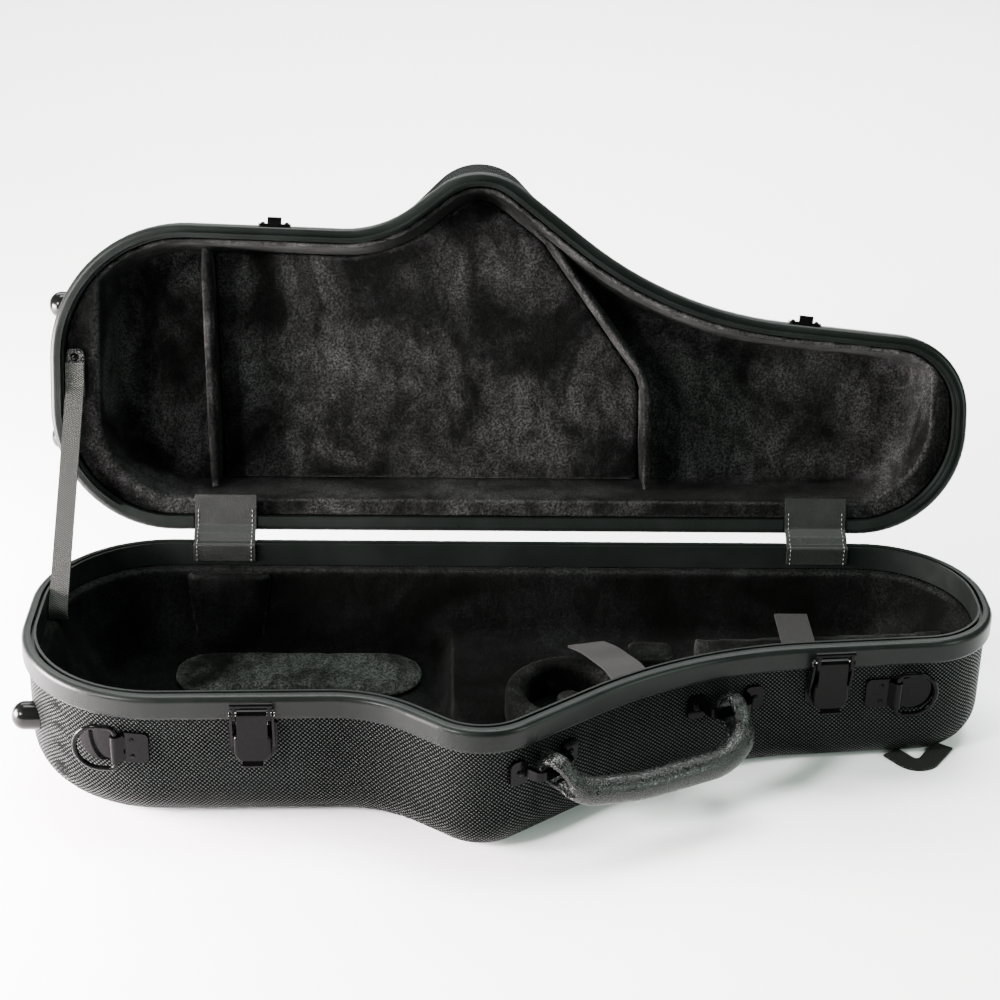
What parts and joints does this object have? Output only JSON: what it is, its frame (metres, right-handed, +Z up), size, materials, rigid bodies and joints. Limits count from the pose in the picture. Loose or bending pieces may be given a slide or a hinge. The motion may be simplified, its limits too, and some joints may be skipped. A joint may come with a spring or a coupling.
{
  "type": "saxophone case",
  "caption": "Shaped hard case for an alto saxophone: moulded base and hinged lid with rims, draw latches, handle, strap rings, feet and plush foam fittings.",
  "frame": {"origin": "on the flat bottom of the base, half way along the case and half way across its wide bell end", "axes": "+X towards the neck end, -Y to the front with the handle and latches, +Z up"},
  "size_m": [0.665, 0.4133, 0.3476],
  "materials": {
    "shell": "embossed twill, satin",
    "rim": "satin",
    "hardware": "gloss black",
    "pins": "satin",
    "feet": "gloss",
    "leather": "pebbled grain",
    "plush": "short-pile velvet over foam",
    "webbing": "woven"
  },
  "bodies": {
    "base": {"anchor_rivets": "hardware", "base_feet": "feet", "base_hinge_rivets": "hardware", "base_liner": "plush", "base_rim": "rim", "base_shell": "shell", "body_strap": "webbing", "carry_loop": "webbing", "cradle_plug": "plush", "floor_pad": "plush", "handle_screws": "hardware", "hinge_left_base_leaf": "hardware", "hinge_left_pin": "pins", "hinge_right_base_leaf": "hardware", "hinge_right_pin": "pins", "latch_rivets": "hardware", "ledge_block": "plush", "left_handle_bracket": "hardware", "left_hinge_cover": "leather", "left_latch_plate": "hardware", "left_lever_pin": "pins", "left_ring_plate": "hardware", "neck_block": "plush", "neck_cradle": "plush", "neck_strap": "webbing", "right_handle_bracket": "hardware", "right_hinge_cover": "leather", "right_latch_plate": "hardware", "right_lever_pin": "pins", "right_ring_plate": "hardware", "stay_strap": "webbing", "wall_pad": "plush"},
    "lid": {"lid_shell": "shell", "lid_rim": "rim", "hinge_left_lid_leaf": "hardware", "hinge_right_lid_leaf": "hardware", "lid_hinge_rivets": "hardware", "left_keeper": "hardware", "right_keeper": "hardware", "keeper_rivets": "hardware", "lid_feet": "feet", "lid_liner": "plush", "bell_ridge": "plush", "neck_ridge": "plush", "lid_pad": "plush", "stay_tab": "leather", "stay_rivet": "hardware"},
    "handle": {"handle_grip": "leather"},
    "left_ring": {"left_ring": "hardware"},
    "right_ring": {"right_ring": "hardware"},
    "left_lever": {"left_latch_lever": "hardware", "left_hook_pin": "pins"},
    "left_hook": {"left_latch_hook": "hardware"},
    "right_lever": {"right_latch_lever": "hardware", "right_hook_pin": "pins"},
    "right_hook": {"right_latch_hook": "hardware"}
  },
  "joints": [
    {"name": "lid_hinge", "type": "hinge", "parent": "base", "child": "lid", "pos_m": [0, 0.1135, 0.1], "axis": [1, 0, 0], "range_deg": [0, 108], "deforming": ["left_hinge_cover", "right_hinge_cover", "stay_strap"]},
    {"name": "left_lever_swing", "type": "hinge", "parent": "base", "child": "left_lever", "pos_m": [-0.16977, -0.11332, 0.091], "axis": [-0.9996, -0.0271, 0], "range_deg": [0, 110]},
    {"name": "left_hook_swing", "type": "hinge", "parent": "left_lever", "child": "left_hook", "pos_m": [-0.16983, -0.11102, 0.083], "axis": [-0.9996, -0.0271, 0], "range_deg": [-65, 0]},
    {"name": "right_lever_swing", "type": "hinge", "parent": "base", "child": "right_lever", "pos_m": [0.21084, -0.04705, 0.091], "axis": [-0.9951, -0.0985, 0], "range_deg": [0, 110]},
    {"name": "right_hook_swing", "type": "hinge", "parent": "right_lever", "child": "right_hook", "pos_m": [0.21061, -0.04476, 0.083], "axis": [-0.9951, -0.0985, 0], "range_deg": [-65, 0]},
    {"name": "handle_swing", "type": "hinge", "parent": "base", "child": "handle", "pos_m": [0.02358, -0.13661, 0.065], "axis": [-0.8584, -0.513, 0], "range_deg": [-30, 80]},
    {"name": "left_ring_swing", "type": "hinge", "parent": "base", "child": "left_ring", "pos_m": [-0.25807, -0.10842, 0.0615], "axis": [0, 0, 1], "range_deg": [0, 165]},
    {"name": "right_ring_swing", "type": "hinge", "parent": "base", "child": "right_ring", "pos_m": [0.2579, -0.03847, 0.0615], "axis": [0, 0, -1], "range_deg": [0, 165]}
  ],
  "couplings": [
    {"joint": "left_hook_swing", "follows": "left_lever_swing", "ratio": -0.591},
    {"joint": "right_hook_swing", "follows": "right_lever_swing", "ratio": -0.591}
  ]
}
